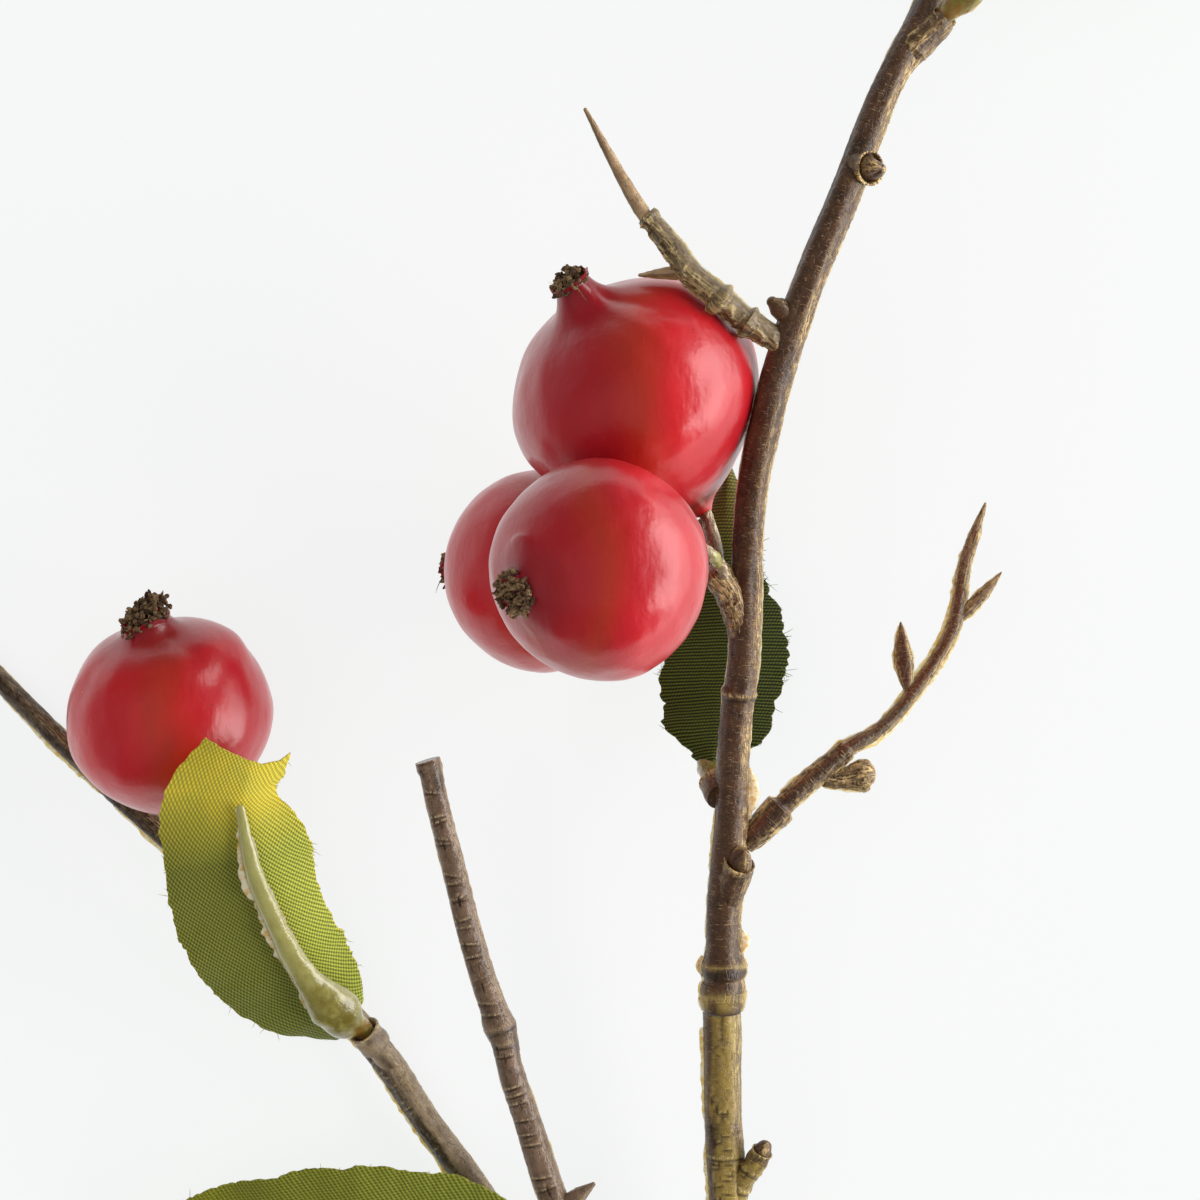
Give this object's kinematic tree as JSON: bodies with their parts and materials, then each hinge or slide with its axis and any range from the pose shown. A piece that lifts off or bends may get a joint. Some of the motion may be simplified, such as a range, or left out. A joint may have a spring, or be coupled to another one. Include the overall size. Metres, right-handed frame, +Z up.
{
  "type": "artificial crabapple branch",
  "caption": "Artificial crabapple branch lying down: brown moulded twigs, glossy red fruits and green woven fabric leaves.",
  "frame": {"origin": "middle of the bounding box's bottom, on the surface that the branch lies on", "axes": "+Y along the stem towards its upper end, +Z up from the surface"},
  "size_m": [0.1671, 0.2357, 0.0582],
  "materials": {
    "bark": "moulded bark, dark brown paint",
    "pale_bark": "moulded bark, grey-brown paint",
    "olive_bark": "moulded bark, olive-brown paint",
    "plug": "blank brown plug",
    "fruit_coat": "smooth crimson coat with brown-orange shading",
    "calyx": "rough brown tuft",
    "stalk": "silvery brown",
    "leaf_fabric": "woven, printed green to yellow",
    "rib": "translucent yellow-green"
  },
  "bodies": {
    "root": {"lower_stem": "olive_bark", "main_stem": "bark", "thorn_twig": "pale_bark", "bud_twig": "bark", "left_twig": "pale_bark", "peg_twig": "pale_bark", "upper_plug": "plug", "fork_plug": "plug", "stub_plug": "plug", "top_fruit": "fruit_coat", "top_calyx": "calyx", "top_stalk": "stalk", "front_fruit": "fruit_coat", "front_calyx": "calyx", "front_stalk": "stalk", "back_fruit": "fruit_coat", "back_calyx": "calyx", "back_stalk": "stalk", "left_fruit": "fruit_coat", "left_calyx": "calyx", "left_stalk": "stalk", "left_leaf": "leaf_fabric", "left_rib": "rib", "rear_leaf": "leaf_fabric", "rear_rib": "rib", "bottom_leaf": "leaf_fabric", "bottom_rib": "rib", "top_leaf": "leaf_fabric", "top_rib": "rib"}
  },
  "joints": []
}
